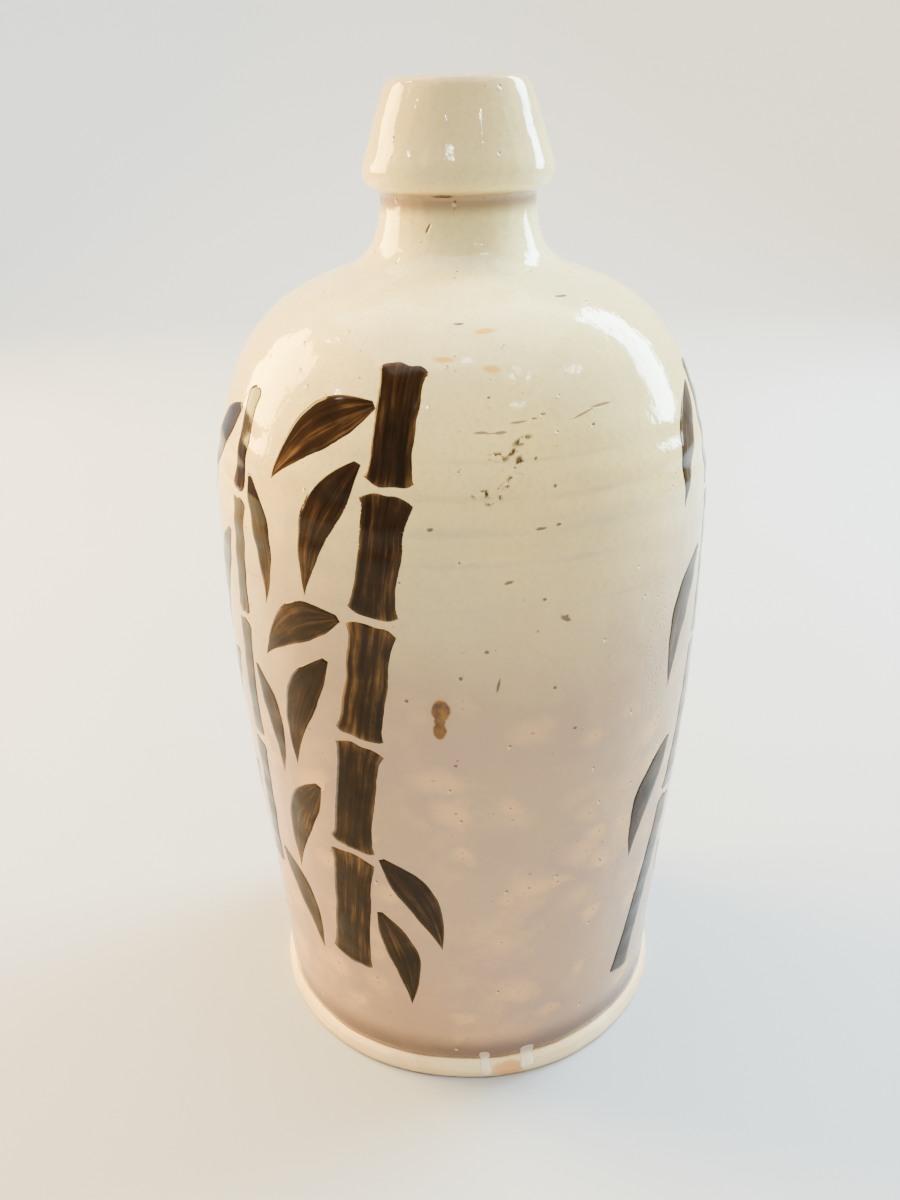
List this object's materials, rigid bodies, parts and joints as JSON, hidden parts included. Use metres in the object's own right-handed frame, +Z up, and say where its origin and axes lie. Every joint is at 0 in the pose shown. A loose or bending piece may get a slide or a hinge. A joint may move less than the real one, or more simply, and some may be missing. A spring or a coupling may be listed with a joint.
{
  "type": "sake bottle",
  "caption": "Round stoneware sake bottle with a sloping collar at the mouth, glazed outside and in, with brushed bamboo.",
  "frame": {"origin": "centre of the face the bottle stands on", "axes": "+Z up along the bottle's axis, towards the mouth; -Y is the side with the open ground between the two sprays of bamboo"},
  "size_m": [0.1326, 0.1326, 0.262],
  "materials": {
    "bare_clay": "unglazed, matt",
    "stoneware": "unglazed, matt, hidden under the glaze",
    "cream_glaze": "glossy, cream",
    "lining_glaze": "glossy, cream, a little darker",
    "iron_brown": "glossy, dark brown with brush streaks",
    "run_glaze": "glossy, pale straw"
  },
  "bodies": {
    "root": {"base_disc": "bare_clay", "body_wall": "stoneware", "neck": "stoneware", "mouth_collar": "stoneware", "outer_glaze": "cream_glaze", "inner_glaze": "lining_glaze", "brush_strokes": "iron_brown", "glaze_runs": "run_glaze"}
  },
  "joints": []
}
